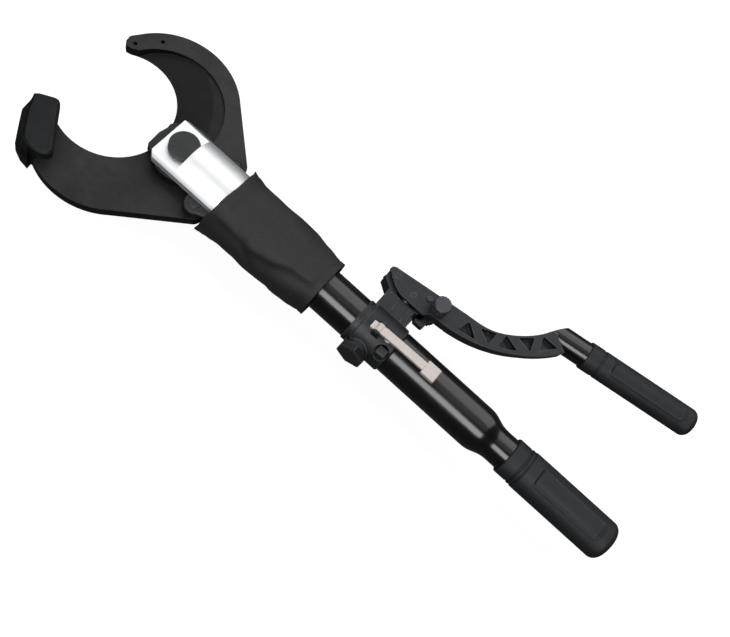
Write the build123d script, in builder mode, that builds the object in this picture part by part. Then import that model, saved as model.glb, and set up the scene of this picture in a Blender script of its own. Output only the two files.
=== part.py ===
"""Hand-pumped hydraulic rescue cutter with two swinging C-shaped jaws.

Frame: the origin lies on the jaws' pivot axis, at the rear face of the pivot pin.
+X runs back along the barrel to the grips, +Y points to the swinging pump handle,
and +Z is up, along the pivot. Most heights below are measured from the barrel's axis.
"""
from build123d import *
import os
from math import atan2, cos, degrees, radians, sin

# ---------------------------------------------------------------- driving dimensions (mm)
axis_height = 30.0          # barrel axis above the rear face of the pivot pin

jaw_thickness = 12.0
shear_gap = 0.15            # half the gap between the two jaws' sliding faces
edge_thickness = 0.8        # flat left on each cutting edge
bevel_width = 34.0
bevel_rise = 9.0

pivot_radius = 11.0
running_gap = 0.05          # radial clearance of every running fit
pin_head_radius = 15.2
pin_head_height = 6.0
pin_flat = 10.7             # the head's flat, which bears on the yoke's shoulder

heel_x, heel_y = 42.0, 28.0  # link pin in each jaw's heel
heel_radius = 12.0
link_pin_radius = 6.0
link_length = 75.0
link_rear_play = 3.1        # the opened pivot of the linkage

yoke_radius = 33.0
yoke_half_width = 26.5
yoke_front, yoke_rear = -19.5, 156.0
ear_gap = 12.5              # half the slot between the yoke's two ears
pad_height = 24.0           # milled pads round the pivot
crosshead_radius = 19.0

tube_radius = 22.0
cylinder_bore = 15.0
rod_radius = 9.0
piston_front, piston_length = 222.0, 12.0

block_front, block_rear = 226.0, 273.0
collar_radius, block_radius = 23.4, 25.0
neck_half = 9.0             # half thickness of the block's neck
plunger_x, plunger_radius = 251.0, 6.0
fulcrum_x, fulcrum_y = 228.0, 58.5
plunger_pin_x, plunger_pin_y = 252.0, 54.0
latch_x, latch_y = 279.5, 60.0
lock_x, lock_y = 266.6, 62.3

barrel_radius = 23.0
neck_radius = 17.4
grip_radius = 21.0

arm_half = 13.0             # half thickness of the handle casting
fork_half = 9.5             # half the gap inside its fork
handle_x, handle_y = 456.4, 147.0   # a point on the handle tube's axis
handle_slope = 9.75         # degrees between handle tube and barrel
handle_tube_radius = 13.6
handle_grip_radius = 15.3

lever_y = -5.4
lever_width = 8.5
lever_pivot_x, lever_pivot_z = 249.0, 29.4
release_x = 262.0

os.makedirs("parts", exist_ok=True)

# ---------------------------------------------------------------- base planes
level = Plane.XY.offset(axis_height)                                   # seen from above
profile = Plane(origin=(0, 0, axis_height), x_dir=(1, 0, 0), z_dir=(0, -1, 0))  # X across, Z up
barrel_axis = Axis((0, 0, axis_height), (1, 0, 0))
slope = radians(handle_slope)
handle_plane = Plane(
    origin=(handle_x, handle_y, axis_height),
    x_dir=(cos(slope), sin(slope), 0),
    z_dir=(sin(slope), -cos(slope), 0),
)
handle_axis = Axis(handle_plane.origin, handle_plane.x_dir)
UP = (Align.CENTER, Align.CENTER, Align.MIN)


def cross(x, y=0.0, z=0.0):
    """Plane across the barrel at x, facing back along it."""
    return Plane(origin=(x, y, axis_height + z), x_dir=(0, 1, 0), z_dir=(1, 0, 0))


def outward(x, y, z=0.0):
    """Plane facing +Y, toward the pump handle."""
    return Plane(origin=(x, y, axis_height + z), x_dir=(-1, 0, 0), z_dir=(0, 1, 0))


def along_handle(distance):
    """Plane across the handle tube, at a distance along its axis."""
    return Plane(handle_plane.origin + handle_plane.x_dir * distance, x_dir=(0, 0, 1),
                 z_dir=handle_plane.x_dir)


def polar(radius, angle, centre=(0.0, 0.0)):
    """Point at an angle in degrees round a centre."""
    return (centre[0] + radius * cos(radians(angle)), centre[1] + radius * sin(radians(angle)))


def flip(point):
    """Mirror a point to the other side of the barrel."""
    return (point[0], -point[1])


def finish(builder, name):
    """Label a piece and write its file."""
    builder.part.label = name
    export_step(builder.part, f"parts/{name}.step")


# ---------------------------------------------------------------- jaws
heel = (heel_x, heel_y)
hub_radius = 29.0
upper_cut = ((-80.7, 4.7), 52.3)       # circle of the cutting edge
upper_back = ((-51.1, 32.8), 71.6)     # circle of the jaw's back
upper_step = ((-49.4, 24.9), 60.5)     # circle where the bevelled hollow ends
lower_cut = ((-84.0, -2.2), 57.9)
lower_back = ((-60.7, -31.6), 75.1)
lower_step = ((-58.0, -24.0), 64.0)
lower_cut_end = polar(lower_cut[1], -10, lower_cut[0])
lower_cut_middle = polar(lower_cut[1], -70, lower_cut[0])
heel_back = polar(heel_radius, 46.7, heel)
heel_side = polar(heel_radius, -4, heel)
heel_front = polar(heel_radius, -60, heel)
hub_corner = polar(hub_radius, 228)
hub_side = polar(hub_radius, -65)
hub_end = polar(hub_radius, 12)
nose = [(-28.7, 10.0), (-30.5, 1.0), (-29.5, -15.0), hub_corner]


def make_hollow(cut, step, side):
    """The bevelled hollow of a jaw: a shallow cone down to the cutting edge, ending at the step."""
    (cut_x, cut_y), cut_radius = cut
    (step_x, step_y), step_radius = step
    with BuildPart() as hollow:
        with BuildSketch(Plane(origin=(cut_x, cut_y, axis_height), x_dir=(1, 0, 0), z_dir=(0, -1, 0))):
            with BuildLine():
                Polyline((0, side * edge_thickness), (cut_radius, side * edge_thickness),
                         (cut_radius + bevel_width, side * (edge_thickness + bevel_rise)),
                         (3 * cut_radius, side * (edge_thickness + bevel_rise)),
                         (3 * cut_radius, side * 2 * jaw_thickness), (0, side * 2 * jaw_thickness),
                         close=True)
            make_face()
        revolve(axis=Axis((cut_x, cut_y, 0), (0, 0, 1)))
        with Locations((step_x, step_y, axis_height)):
            Cylinder(step_radius, 4 * jaw_thickness, mode=Mode.INTERSECT)
        with Locations((0, 0, axis_height)):
            Cylinder(hub_radius + 4, 4 * jaw_thickness, mode=Mode.SUBTRACT)
    return hollow.part


with BuildPart() as upper_jaw:
    with BuildSketch(level.offset(shear_gap)):
        with BuildLine():
            tip = Polyline((-110.0, 48.0), (-115.4, 46.5), (-119.5, 50.0), (-120.6, 56.7), (-116.0, 64.5))
            back = ThreePointArc(tip @ 1, polar(upper_back[1], 105, upper_back[0]),
                                 polar(upper_back[1], 46.7, upper_back[0]))
            Line(back @ 1, heel_back)
            ThreePointArc(heel_back, heel_side, heel_front)
            Line(heel_front, hub_end)
            ThreePointArc(hub_end, hub_side, hub_corner)
            Polyline(*nose)
            ThreePointArc(nose[0], polar(upper_cut[1], 60, upper_cut[0]), tip @ 0)
        make_face()
    extrude(amount=jaw_thickness - shear_gap)
    add(make_hollow(upper_cut, upper_step, 1), mode=Mode.SUBTRACT)
    with Locations((0, 0, axis_height)):
        Cylinder(pivot_radius + running_gap, jaw_thickness, align=UP, mode=Mode.SUBTRACT)
    with Locations((heel_x, heel_y, axis_height)):
        Cylinder(link_pin_radius, jaw_thickness, align=UP, mode=Mode.SUBTRACT)
    # threaded holes in the tip
    with Locations((-111.6, 54.2, axis_height), (-95.8, 75.9, axis_height)):
        Cylinder(2.0, jaw_thickness, align=UP, mode=Mode.SUBTRACT)
finish(upper_jaw, "upper_jaw")

with BuildPart() as lower_jaw:
    with BuildSketch(level.offset(-shear_gap)):
        with BuildLine():
            tip = Polyline((-125.0, -43.1), (-129.5, -44.0), polar(lower_back[1], 195.7, lower_back[0]))
            back = ThreePointArc(tip @ 1, polar(lower_back[1], -120, lower_back[0]),
                                 polar(lower_back[1], -46.7, lower_back[0]))
            Line(back @ 1, flip(heel_back))
            ThreePointArc(flip(heel_back), flip(heel_side), flip(heel_front))
            Line(flip(heel_front), flip(hub_end))
            ThreePointArc(flip(hub_end), flip(hub_side), flip(hub_corner))
            Polyline(flip(hub_corner), (-28.5, 13.0), (-28.0, 0.0), lower_cut_end)
            ThreePointArc(lower_cut_end, lower_cut_middle, tip @ 0)
        make_face()
    extrude(amount=-(jaw_thickness - shear_gap))
    add(make_hollow(lower_cut, lower_step, -1), mode=Mode.SUBTRACT)
    with Locations((0, 0, axis_height - jaw_thickness)):
        Cylinder(pivot_radius + running_gap, jaw_thickness, align=UP, mode=Mode.SUBTRACT)
    with Locations((heel_x, -heel_y, axis_height - jaw_thickness)):
        Cylinder(link_pin_radius, jaw_thickness, align=UP, mode=Mode.SUBTRACT)
    # countersunk holes for the tip guide's screws
    guide_screw_places = [polar(139.0, 206), polar(138.0, 212)]
    with Locations(*[(x, y, axis_height - jaw_thickness) for x, y in guide_screw_places]):
        Cylinder(2.5, jaw_thickness, align=UP, mode=Mode.SUBTRACT)
        Cylinder(4.0, 4.0, align=UP, mode=Mode.SUBTRACT)
finish(lower_jaw, "lower_jaw")

# ---------------------------------------------------------------- tip guide on the lower jaw
slot_radius = 134.6         # the upper jaw's tip passes inside this circle
guide_side = [(-104.0, -98.0), (-110.5, -91.0), (-121.8, -74.5), (-126.8, -65.0), (-129.5, -59.0),
              (-126.3, -55.5), (-114.5, -48.6), (-110.7, -47.7), (-107.2, -49.2), (-96.0, -64.0),
              (-86.5, -76.0), (-78.5, -86.5)]
guide_end = [guide_side[-1], (-76.6, -91.2), (-79.5, -95.8), (-85.0, -98.9), (-92.0, -100.2), (-98.8, -99.8),
             guide_side[0]]
guide_chamfer = 2.2
# the outer wall flares towards its foot, from the block's own side at the top
flare_foot = [(-129.5, -59.0), (-132.8, -71.2), (-123.6, -84.5), (-112.0, -100.5), (-102.0, -104.8),
              (-92.0, -106.0)]
flare_top = guide_side[4::-1] + [guide_end[-2]]
flare_root = [(-94.0, -92.0), (-120.0, -60.0)]
foot_height = 3.0
with BuildPart() as tip_guide:
    with BuildSketch(level.offset(-jaw_thickness)):
        with BuildLine():
            Polyline(*guide_side)
            Spline(*guide_end)
        make_face()
    extrude(amount=jaw_thickness + pad_height)
    top_edges = tip_guide.faces().sort_by(Axis.Z)[-1].edges()
    chamfer(top_edges, length=guide_chamfer)
    for height, flare in ((foot_height, flare_foot), (pad_height - guide_chamfer, flare_top)):
        with BuildSketch(level.offset(height)):
            with BuildLine():
                Polyline(*flare, *flare_root, close=True)
            make_face()
    loft(ruled=True)
    with BuildSketch(level.offset(-jaw_thickness)):
        with BuildLine():
            Polyline(*flare_foot, *flare_root, close=True)
        make_face()
    extrude(amount=jaw_thickness + foot_height)
    # room for the upper jaw's tip, and for the lower jaw itself
    with Locations((0, 0, axis_height - 2 * jaw_thickness)):
        Cylinder(slot_radius, 2 * jaw_thickness + jaw_thickness + 0.45, align=UP, mode=Mode.SUBTRACT)
    with BuildSketch(level.offset(-shear_gap)):
        with Locations(lower_back[0]):
            Circle(lower_back[1])
    extrude(amount=-jaw_thickness, mode=Mode.SUBTRACT)
    with Locations(*[(x, y, axis_height - shear_gap) for x, y in guide_screw_places]):
        Cylinder(2.5, 9.0, align=UP, mode=Mode.SUBTRACT)
finish(tip_guide, "tip_guide")

with BuildPart() as guide_screws:
    with Locations(*[(x, y, axis_height - jaw_thickness + 0.4) for x, y in guide_screw_places]):
        Cylinder(4.0, 3.6, align=UP)
        Cylinder(2.5, 20.0, align=UP)
        Cylinder(1.5, 1.8, align=UP, mode=Mode.SUBTRACT)
finish(guide_screws, "guide_screws")

# ---------------------------------------------------------------- links and their pins
crosshead_x = heel_x + (link_length**2 - heel_y**2) ** 0.5
link_slope = degrees(atan2(-heel_y, crosshead_x - heel_x))
link_gap = 0.3
link_waist, link_rear_radius = 10.5, 12.0


def make_link(side):
    """Flat link from a jaw's heel to the crosshead: side is +1 for the upper jaw."""
    low = -jaw_thickness if side > 0 else link_gap
    with BuildPart() as link:
        with BuildSketch(level.offset(low)):
            middle = ((heel_x + crosshead_x) / 2, side * heel_y / 2, 0)
            with Locations(Location(middle, (0, 0, side * link_slope))):
                SlotCenterToCenter(link_length, 2 * link_waist)
            with Locations((heel_x, side * heel_y)):
                Circle(11.4)
            with Locations((crosshead_x, 0)):
                Circle(link_rear_radius)
        extrude(amount=jaw_thickness - link_gap)
        rims = link.faces().sort_by(Axis.Z)
        chamfer(rims[-1].edges() + rims[0].edges(), length=1.4)
        with Locations((heel_x, side * heel_y, axis_height + low)):
            Cylinder(link_pin_radius + running_gap, jaw_thickness, align=UP, mode=Mode.SUBTRACT)
        with Locations((crosshead_x, 0, axis_height + low)):
            Cylinder(link_pin_radius + link_rear_play, jaw_thickness, align=UP, mode=Mode.SUBTRACT)
    return link


upper_link = make_link(1)
finish(upper_link, "upper_link")
lower_link = make_link(-1)
finish(lower_link, "lower_link")

for name, side in (("upper_heel_pin", 1), ("lower_heel_pin", -1)):
    with BuildPart() as heel_pin:
        with Locations((heel_x, side * heel_y, axis_height - jaw_thickness)):
            Cylinder(link_pin_radius, 2 * jaw_thickness, align=UP)
        chamfer(heel_pin.edges().filter_by(GeomType.CIRCLE), length=0.8)
    finish(heel_pin, name)

# ---------------------------------------------------------------- yoke and pivot pin
slot_end = 124.0
round_from = 100.0
bore_front, bore_rear = 56.0, 138.0
taper_from, taper_radius = 143.0, 26.0
with BuildPart() as yoke:
    with BuildSketch(profile):
        with BuildLine():
            Polyline((yoke_front, 0), (yoke_front, yoke_radius), (taper_from, yoke_radius),
                     (yoke_rear, taper_radius), (yoke_rear, 0), close=True)
        make_face()
    revolve(axis=barrel_axis)
    # flat flanks along the fork
    for side in (1, -1):
        middle = ((yoke_front + round_from) / 2, side * (yoke_half_width + 10), axis_height)
        with Locations(middle):
            Box(round_from - yoke_front, 20, 2 * yoke_radius, mode=Mode.SUBTRACT)
    # milled pads round the pivot, the front one with a shoulder for the pin's flat
    for side, shoulder in ((1, pin_flat + 0.6), (-1, 17.0)):
        with Locations((yoke_front + (shoulder - yoke_front) / 2, 0, axis_height + side * (pad_height + 10))):
            Box(shoulder - yoke_front, 2 * yoke_radius, 20, mode=Mode.SUBTRACT)
    # slot for the jaws and links, and the bore that guides the crosshead
    with Locations((yoke_front + (slot_end - yoke_front) / 2, 0, axis_height)):
        Box(slot_end - yoke_front, 3 * yoke_radius, 2 * ear_gap, mode=Mode.SUBTRACT)
    with Locations(cross(bore_front)):
        Cylinder(crosshead_radius + running_gap, yoke_rear - bore_front, align=UP, mode=Mode.SUBTRACT)
    with Locations((0, 0, 0)):
        Cylinder(pivot_radius, 2 * axis_height, align=UP, mode=Mode.SUBTRACT)
    with BuildSketch(Plane.XY):
        for side in (1, -1):
            with Locations((yoke_front, side * yoke_half_width)):
                Rectangle(6.0, 6.0, rotation=45)
    extrude(amount=2 * axis_height + yoke_radius, both=True, mode=Mode.SUBTRACT)
finish(yoke, "yoke")

nut_bore = 9.0
with BuildPart() as pivot_pin:
    with BuildSketch(Plane.XY):
        Circle(nut_bore)
    extrude(amount=axis_height)
    with Locations((0, 0, axis_height - pad_height)):
        Cylinder(pivot_radius, 2 * pad_height, align=UP)
    with BuildSketch(level.offset(pad_height)):
        Circle(pin_head_radius)
        with Locations((pin_flat + pin_head_radius, 0)):
            Rectangle(2 * pin_head_radius, 2 * pin_head_radius, mode=Mode.SUBTRACT)
    extrude(amount=pin_head_height)
    chamfer(pivot_pin.faces().sort_by(Axis.Z)[-1].edges(), length=0.6)
finish(pivot_pin, "pivot_pin")

with BuildPart() as pivot_nut:
    with BuildSketch(Plane.XY):
        Circle(14.5)
        Circle(nut_bore, mode=Mode.SUBTRACT)
        with PolarLocations(14.5, 4):
            Rectangle(4, 5, mode=Mode.SUBTRACT)
    extrude(amount=axis_height - pad_height)
finish(pivot_nut, "pivot_nut")

# ---------------------------------------------------------------- ram
ear_base = crosshead_x + 14.6
rod_front = ear_base + 2
with BuildPart() as crosshead:
    with Locations(cross(crosshead_x - 10)):
        Cylinder(crosshead_radius, ear_base + 8 - crosshead_x + 10, align=UP)
    with Locations(((crosshead_x - 10 + ear_base) / 2, 0, axis_height)):
        Box(ear_base - crosshead_x + 10, 3 * crosshead_radius, 2 * ear_gap - 0.4, mode=Mode.SUBTRACT)
    with Locations((crosshead_x, 0, 0)):
        Cylinder(link_pin_radius, 2 * axis_height, align=UP, mode=Mode.SUBTRACT)
    with Locations(cross(rod_front)):
        Cylinder(rod_radius - 2, 20, align=UP, mode=Mode.SUBTRACT)
finish(crosshead, "crosshead")

with BuildPart() as crosshead_pin:
    with Locations((crosshead_x, 0, axis_height - 17.5)):
        Cylinder(link_pin_radius, 35, align=UP)
    chamfer(crosshead_pin.edges().filter_by(GeomType.CIRCLE), length=0.8)
finish(crosshead_pin, "crosshead_pin")

with BuildPart() as ram_rod:
    with Locations(cross(rod_front)):
        Cylinder(rod_radius - 2, piston_front + piston_length - rod_front, align=UP)
    with Locations(cross(ear_base + 8)):
        Cylinder(rod_radius, piston_front - ear_base - 8, align=UP)
finish(ram_rod, "ram_rod")

seal_depth, seal_width = 2.5, 4.0
with BuildPart() as piston:
    with Locations(cross(piston_front)):
        Cylinder(cylinder_bore - running_gap, piston_length, align=UP)
        Cylinder(rod_radius - 2, piston_length, align=UP, mode=Mode.SUBTRACT)
    with BuildSketch(cross(piston_front + 4)):
        Circle(cylinder_bore)
        Circle(cylinder_bore - seal_depth, mode=Mode.SUBTRACT)
    extrude(amount=seal_width, mode=Mode.SUBTRACT)
finish(piston, "piston")

with BuildPart() as piston_seal:
    with BuildSketch(cross(piston_front + 4)):
        Circle(cylinder_bore - running_gap)
        Circle(cylinder_bore - seal_depth, mode=Mode.SUBTRACT)
    extrude(amount=seal_width)
finish(piston_seal, "piston_seal")

# ---------------------------------------------------------------- hydraulic cylinder
tube_shoulder = yoke_rear
tube_rear = 236.0
with BuildPart() as front_tube:
    with BuildSketch(cross(bore_rear)):
        Circle(crosshead_radius + running_gap)
    extrude(amount=tube_shoulder - bore_rear)
    with BuildSketch(cross(tube_shoulder)):
        Circle(tube_radius)
    extrude(amount=tube_rear - tube_shoulder)
    with Locations(cross(bore_rear)):
        Cylinder(cylinder_bore, tube_rear - bore_rear, align=UP, mode=Mode.SUBTRACT)
finish(front_tube, "front_tube")

with BuildPart() as rod_gland:
    with BuildSketch(cross(bore_rear + 1)):
        Circle(cylinder_bore)
        Circle(rod_radius + running_gap, mode=Mode.SUBTRACT)
    extrude(amount=12)
finish(rod_gland, "rod_gland")

with BuildPart() as rod_seal:
    with BuildSketch(cross(bore_rear + 13)):
        Circle(cylinder_bore)
        Circle(rod_radius + running_gap, mode=Mode.SUBTRACT)
    extrude(amount=4)
finish(rod_seal, "rod_seal")

spring_front = bore_rear + 17
spring_wire = 0.8
spring_length = piston_front - spring_front - 2 * spring_wire - 0.4
with BuildPart() as return_spring:
    with BuildLine():
        coil = Helix(pitch=spring_length / 11, height=spring_length, radius=12.2,
                     center=(spring_front + spring_wire + 0.2, 0, axis_height), direction=(1, 0, 0))
    with BuildSketch(Plane(origin=coil @ 0, z_dir=coil % 0)):
        Circle(spring_wire)
    sweep(path=coil, is_frenet=True)
finish(return_spring, "return_spring")

# ---------------------------------------------------------------- soft sleeve over the links
sleeve_wall = 2.0
sleeve_outer = [(58, 40.3), (68, 38.4), (80, 36.8), (102, 36.0), (124, 37.4), (143, 36.3), (162, 34.0),
                (184, 32.0)]
with BuildPart() as protective_sleeve:
    with BuildSketch(profile):
        with BuildLine():
            skin = Spline(*sleeve_outer)
            lining = Spline(*[(x, radius - sleeve_wall) for x, radius in sleeve_outer])
            Line(skin @ 0, lining @ 0)
            Line(skin @ 1, lining @ 1)
        make_face()
    revolve(axis=barrel_axis)
finish(protective_sleeve, "protective_sleeve")

with BuildPart() as sleeve_band:
    with BuildSketch(cross(122)):
        Circle(yoke_radius + 1.6)
        Circle(yoke_radius, mode=Mode.SUBTRACT)
    extrude(amount=8)
finish(sleeve_band, "sleeve_band")

# ---------------------------------------------------------------- pump block
pad_top = 41.5
groove_x = 232.0
valve_x, valve_boss_radius, valve_face = 244.8, 13.2, 26.5
valve_bore = 8.0
plug_x, plug_y = 265.0, -18.0
plug_seat, plug_height = 16.0, 7.5      # spot face above the barrel's axis, and the head's height
plug_boss_radius = 7.4
plug_bore_floor = 9.5
release_radius = 3.0
ear_radius, ear_thickness = 4.2, 2.2
barrel_socket, spigot_radius = 266.0, 16.0
with BuildPart() as pump_block:
    with BuildSketch(profile):
        with BuildLine():
            Polyline((block_front, 0), (block_front, collar_radius - 0.6), (block_front + 0.6, collar_radius),
                     (groove_x + 0.6, collar_radius), (groove_x + 1.6, block_radius),
                     (block_rear - 1.5, block_radius), (block_rear, block_radius - 1.5), (block_rear, 0),
                     close=True)
        make_face()
    revolve(axis=barrel_axis)
    # neck that carries the handle's fulcrum and the plunger
    with BuildSketch(level.offset(-neck_half)):
        with BuildLine():
            Polyline((groove_x, 0), (230.6, 24.0), (230.4, 33.0), (230.4, 43.6), (219.4, 51.0), (219.0, 56.5))
            ThreePointArc((219.0, 56.5), (222.5, 63.2), (fulcrum_x, fulcrum_y + 6.5))
            ThreePointArc((fulcrum_x, fulcrum_y + 6.5), (233.3, 62.2), (234.4, 57.0))
            Polyline((234.4, 57.0), (239.5, 43.2), (262.0, 43.2), (263.0, 47.0), (268.0, 47.0),
                     (268.0, 43.2), (264.6, 42.2), (264.6, 36.5), (267.5, 33.5), (267.0, 24.0),
                     (272.0, 18.0), (272.0, 0), (groove_x, 0))
        make_face()
    extrude(amount=2 * neck_half)
    # cheeks either side of the plunger's column
    with BuildSketch(level.offset(-neck_half - 2)):
        with BuildLine():
            Polyline((groove_x, 0), (231.5, 25.0), (231.0, 33.0), (234.0, pad_top), (245.5, pad_top),
                     (245.5, 0), close=True)
        make_face()
        with BuildLine():
            Polyline((258.5, 0), (258.5, 40.0), (263.0, 40.0), (263.0, 30.0), (266.0, 26.0), (270.0, 18.0),
                     (270.0, 0), close=True)
        make_face()
    extrude(amount=2 * neck_half + 4)
    # boss for the pressure valve
    with Locations(outward(valve_x, -valve_face)):
        Cone(valve_boss_radius, valve_boss_radius + 2.5, 14, align=UP)
    # boss under the relief plug
    with Locations((plug_x, plug_y, axis_height)):
        Cylinder(plug_boss_radius, plug_seat, align=UP)
    # ears for the release lever
    for side in (1, -1):
        middle = lever_y + side * (lever_width / 2 + 0.3 + ear_thickness / 2)
        with BuildSketch(profile.offset(-middle - ear_thickness / 2)):
            with Locations((lever_pivot_x, lever_pivot_z)):
                Circle(ear_radius)
            with Locations((lever_pivot_x, lever_pivot_z - 5)):
                Rectangle(2 * ear_radius, 10)
        extrude(amount=ear_thickness)
    # groove round the front collar
    with BuildSketch(cross(groove_x)):
        Circle(block_radius + 1)
        Circle(collar_radius - 0.8, mode=Mode.SUBTRACT)
        with Locations((30, 0)):
            Rectangle(40, 30, mode=Mode.SUBTRACT)
    extrude(amount=1.3, mode=Mode.SUBTRACT)
    # spot face round the relief plug
    with Locations((plug_x, plug_y, axis_height + plug_seat)):
        Cylinder(plug_boss_radius, 20, align=UP, mode=Mode.SUBTRACT)
    # sockets for the two tubes and the oil passage between them
    with Locations(cross(block_front)):
        Cylinder(tube_radius, tube_rear - block_front, align=UP, mode=Mode.SUBTRACT)
    with Locations(cross(barrel_socket)):
        Cylinder(spigot_radius, 40, align=UP, mode=Mode.SUBTRACT)
    with Locations(cross(tube_rear - 1, y=-6, z=-8)):
        Cylinder(2.0, barrel_socket - tube_rear + 2, align=UP, mode=Mode.SUBTRACT)
    # bores: plunger, valve, fulcrum, relief plug, release pin, lever pin
    with Locations(outward(plunger_x, 8)):
        Cylinder(plunger_radius + running_gap, 60, align=UP, mode=Mode.SUBTRACT)
    with Locations(outward(valve_x, -valve_face)):
        Cylinder(valve_bore, valve_face - 8, align=UP, mode=Mode.SUBTRACT)
    with Locations((fulcrum_x, fulcrum_y, 0)):
        Cylinder(3.5, 2 * axis_height, align=UP, mode=Mode.SUBTRACT)
    with Locations((plug_x, plug_y, axis_height + plug_bore_floor)):
        Cylinder(4.0, 20, align=UP, mode=Mode.SUBTRACT)
    with Locations((release_x, lever_y, axis_height + 12)):
        Cylinder(release_radius + running_gap, 20, align=UP, mode=Mode.SUBTRACT)
    with Locations(outward(lever_pivot_x, lever_y - 20, lever_pivot_z)):
        Cylinder(1.6, 40, align=UP, mode=Mode.SUBTRACT)
finish(pump_block, "pump_block")

hex_flats = 27.0
with BuildPart() as valve_cap:
    with BuildSketch(outward(valve_x, -valve_face)):
        RegularPolygon(hex_flats / 2, 6, major_radius=False, rotation=30)
    extrude(amount=-8.1)
    chamfer(valve_cap.faces().sort_by(Axis.Y)[0].edges(), length=1.0)
    with Locations(outward(valve_x, -valve_face)):
        Cylinder(valve_bore, 8, align=UP)
        Cylinder(5.0, 8, align=UP, mode=Mode.SUBTRACT)
finish(valve_cap, "valve_cap")

with BuildPart() as valve_ball:
    with Locations((valve_x, -12.2, axis_height)):
        Sphere(4.1)
finish(valve_ball, "valve_ball")

with BuildPart() as valve_spring:
    with BuildLine():
        coil = Helix(pitch=2.2, height=8.8, radius=3.6, center=(valve_x, -valve_face + 0.8, axis_height),
                     direction=(0, 1, 0))
    with BuildSketch(Plane(origin=coil @ 0, z_dir=coil % 0)):
        Circle(0.5)
    sweep(path=coil, is_frenet=True)
finish(valve_spring, "valve_spring")

with BuildPart() as relief_plug:
    with BuildSketch(level.offset(plug_seat)):
        with Locations((plug_x, plug_y)):
            RectangleRounded(10.5, 9.5, 1.2)
    extrude(amount=plug_height)
    chamfer(relief_plug.faces().sort_by(Axis.Z)[-1].edges(), length=0.8)
    with Locations((plug_x, plug_y, axis_height + plug_bore_floor)):
        Cylinder(4.0, plug_seat - plug_bore_floor, align=UP)
finish(relief_plug, "relief_plug")

# ---------------------------------------------------------------- plunger
eye_radius = 8.0
eye_slot_radius, eye_slot_travel = 3.6, 4.4
with BuildPart() as plunger:
    with Locations(outward(plunger_x, 14)):
        Cylinder(plunger_radius, plunger_pin_y - 14, align=UP)
    with BuildSketch(level.offset(-neck_half + 0.6)):
        with Locations((plunger_x, plunger_pin_y)):
            Circle(eye_radius)
            SlotCenterToCenter(eye_slot_travel, 2 * eye_slot_radius, mode=Mode.SUBTRACT)
    extrude(amount=2 * (neck_half - 0.6), mode=Mode.ADD)
    with BuildSketch(level.offset(-neck_half + 0.6)):
        with Locations((plunger_x, plunger_pin_y)):
            SlotCenterToCenter(eye_slot_travel, 2 * eye_slot_radius)
    extrude(amount=2 * (neck_half - 0.6), mode=Mode.SUBTRACT)
    with BuildSketch(outward(plunger_x, 17)):
        Circle(plunger_radius + 1)
        Circle(plunger_radius - 1.8, mode=Mode.SUBTRACT)
    extrude(amount=2.5, mode=Mode.SUBTRACT)
finish(plunger, "plunger")

with BuildPart() as plunger_seal:
    with BuildSketch(outward(plunger_x, 17)):
        Circle(plunger_radius)
        Circle(plunger_radius - 1.8, mode=Mode.SUBTRACT)
    extrude(amount=2.5)
finish(plunger_seal, "plunger_seal")

with BuildPart() as plunger_pin:
    with Locations((plunger_pin_x, plunger_pin_y, axis_height - arm_half)):
        Cylinder(3.0, 2 * arm_half, align=UP)
finish(plunger_pin, "plunger_pin")

with BuildPart() as fulcrum_pin:
    with Locations((fulcrum_x, fulcrum_y, axis_height - arm_half)):
        Cylinder(3.5, 2 * arm_half, align=UP)
    chamfer(fulcrum_pin.edges().filter_by(GeomType.CIRCLE), length=0.5)
finish(fulcrum_pin, "fulcrum_pin")

# ---------------------------------------------------------------- pump handle casting
head_corner = (221.5, 63.9)
arm_top = [(300.0, 76.6), (326.6, 80.8), (351.5, 94.2), (372.9, 116.4), (384.2, 134.8)]
rear_round = 18.0                # the arm's back is rounded below
round_from_angle = -88.0
seat_slope = 57.0                # the arm's upper edge where the handle tube leaves it
seat_line = [polar(-60, seat_slope, arm_top[-1]), polar(60, seat_slope, arm_top[-1]),
             (330.0, 185.0), (330.0, 84.0)]
arm_low = [(288.6, 51.0), (343.5, 66.3), (400.7, 114.4)]
arm_centre, arm_radius = (278.1, 193.5), 142.9      # circle of the arm's lower curve
pocket_track = 131.9             # radius of the pockets' middles round it
pocket_depth = 6.5
pocket_first, pocket_step = -74.2, 9.25
pocket_up = [(-10.5, -6.6), (-1.5, 7.4), (10.5, -7.2)]
pocket_down = [(-9.0, 6.8), (8.5, 6.8), (1.5, -7.5)]
tube_start, tube_end = -96.0, 92.0          # along the handle tube's axis
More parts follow.
